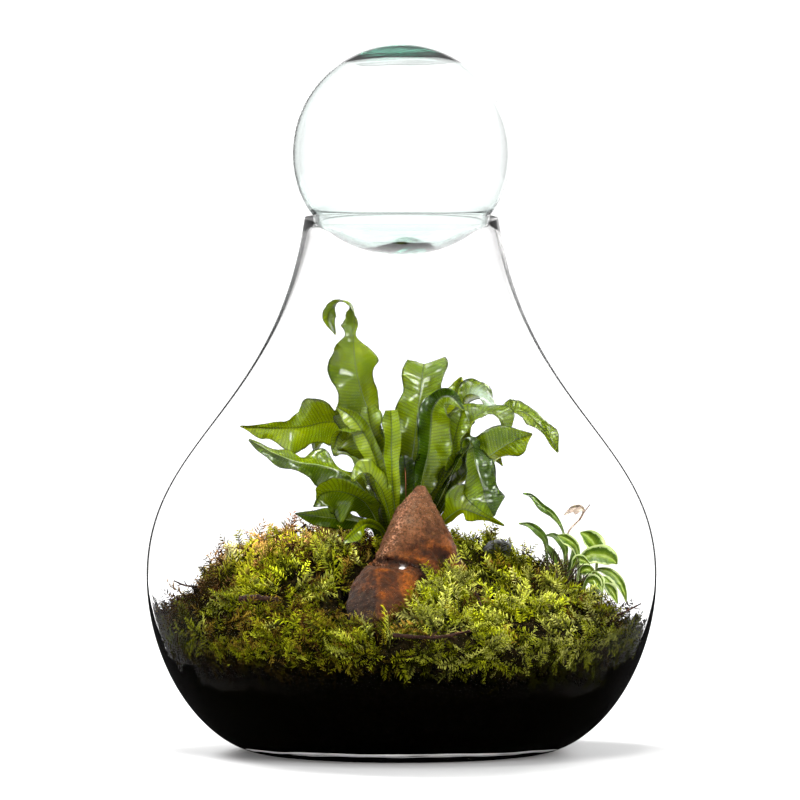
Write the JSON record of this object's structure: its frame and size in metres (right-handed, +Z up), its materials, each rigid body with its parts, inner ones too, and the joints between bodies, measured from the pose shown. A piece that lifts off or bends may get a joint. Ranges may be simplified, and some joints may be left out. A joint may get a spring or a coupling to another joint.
{
  "type": "glass plant terrarium",
  "caption": "Pear-shaped clear glass jar with a hollow glass ball lid, planted with moss, a wavy-leaved fern, small leafy plants and a rust-red rock on black soil.",
  "frame": {"origin": "centre of the jar's underside, on the surface it stands on", "axes": "+Z up, -Y the front, with the rock in front of the fern"},
  "size_m": [0.3, 0.3, 0.4164],
  "materials": {
    "jar_glass": "clear blown glass, polished, faint grey-green in the thick edges",
    "ball_lid_glass": "clear blown glass, polished, sea-green in the thick poles",
    "soil": "moist black potting soil, matt and granular",
    "moss": "feather moss, yellow-green tips over olive and brown",
    "rust_rock": "weathered iron-red stone, pinkish brown above, orange rust below",
    "dark_stone": "dark grey stone, matt",
    "root": "dark fibrous roots and leaf bases",
    "fern_leaf": "glossy wavy fern blade, translucent, with fine side veins",
    "slender_leaf": "smooth green leaf, satin",
    "striped_leaf": "green leaf with cream stripes and margins, satin",
    "dry_leaf": "dry papery leaf on a thin brown stem",
    "twig": "dark brown twig, rough bark"
  },
  "bodies": {
    "root": {"ball_lid": "ball_lid_glass", "bark": "twig", "frond_back_left": "fern_leaf", "frond_back_low_left": "fern_leaf", "frond_back_low_right": "fern_leaf", "frond_back_mid": "fern_leaf", "frond_back_right": "fern_leaf", "frond_centre_back": "fern_leaf", "frond_centre_front": "fern_leaf", "frond_centre_right": "fern_leaf", "frond_centre_tall": "fern_leaf", "frond_front_dark": "fern_leaf", "frond_front_left": "fern_leaf", "frond_front_mid": "fern_leaf", "frond_left_behind": "fern_leaf", "frond_left_ground": "fern_leaf", "frond_left_high": "fern_leaf", "frond_left_low": "fern_leaf", "frond_left_mid": "fern_leaf", "frond_left_small": "fern_leaf", "frond_right_dark": "fern_leaf", "frond_right_high": "fern_leaf", "frond_right_low": "fern_leaf", "frond_right_mid": "fern_leaf", "frond_tall_left": "fern_leaf", "jar": "jar_glass", "leaf_dry_sprig": "dry_leaf", "leaf_slender_a": "slender_leaf", "leaf_slender_b": "slender_leaf", "leaf_slender_c": "slender_leaf", "leaf_striped_a": "striped_leaf", "leaf_striped_b": "striped_leaf", "leaf_striped_c": "striped_leaf", "leaf_striped_d": "striped_leaf", "leaf_striped_e": "striped_leaf", "leaf_striped_f": "striped_leaf", "moss_back_left": "moss", "moss_back_right": "moss", "moss_front_left": "moss", "moss_front_right": "moss", "moss_left": "moss", "moss_right": "moss", "rock": "rust_rock", "root_ball": "root", "soil": "soil", "stone": "dark_stone", "twig_front": "twig", "twig_left_edge": "twig", "twig_left_top": "twig", "twig_right": "twig", "twig_slope": "twig"}
  },
  "joints": []
}
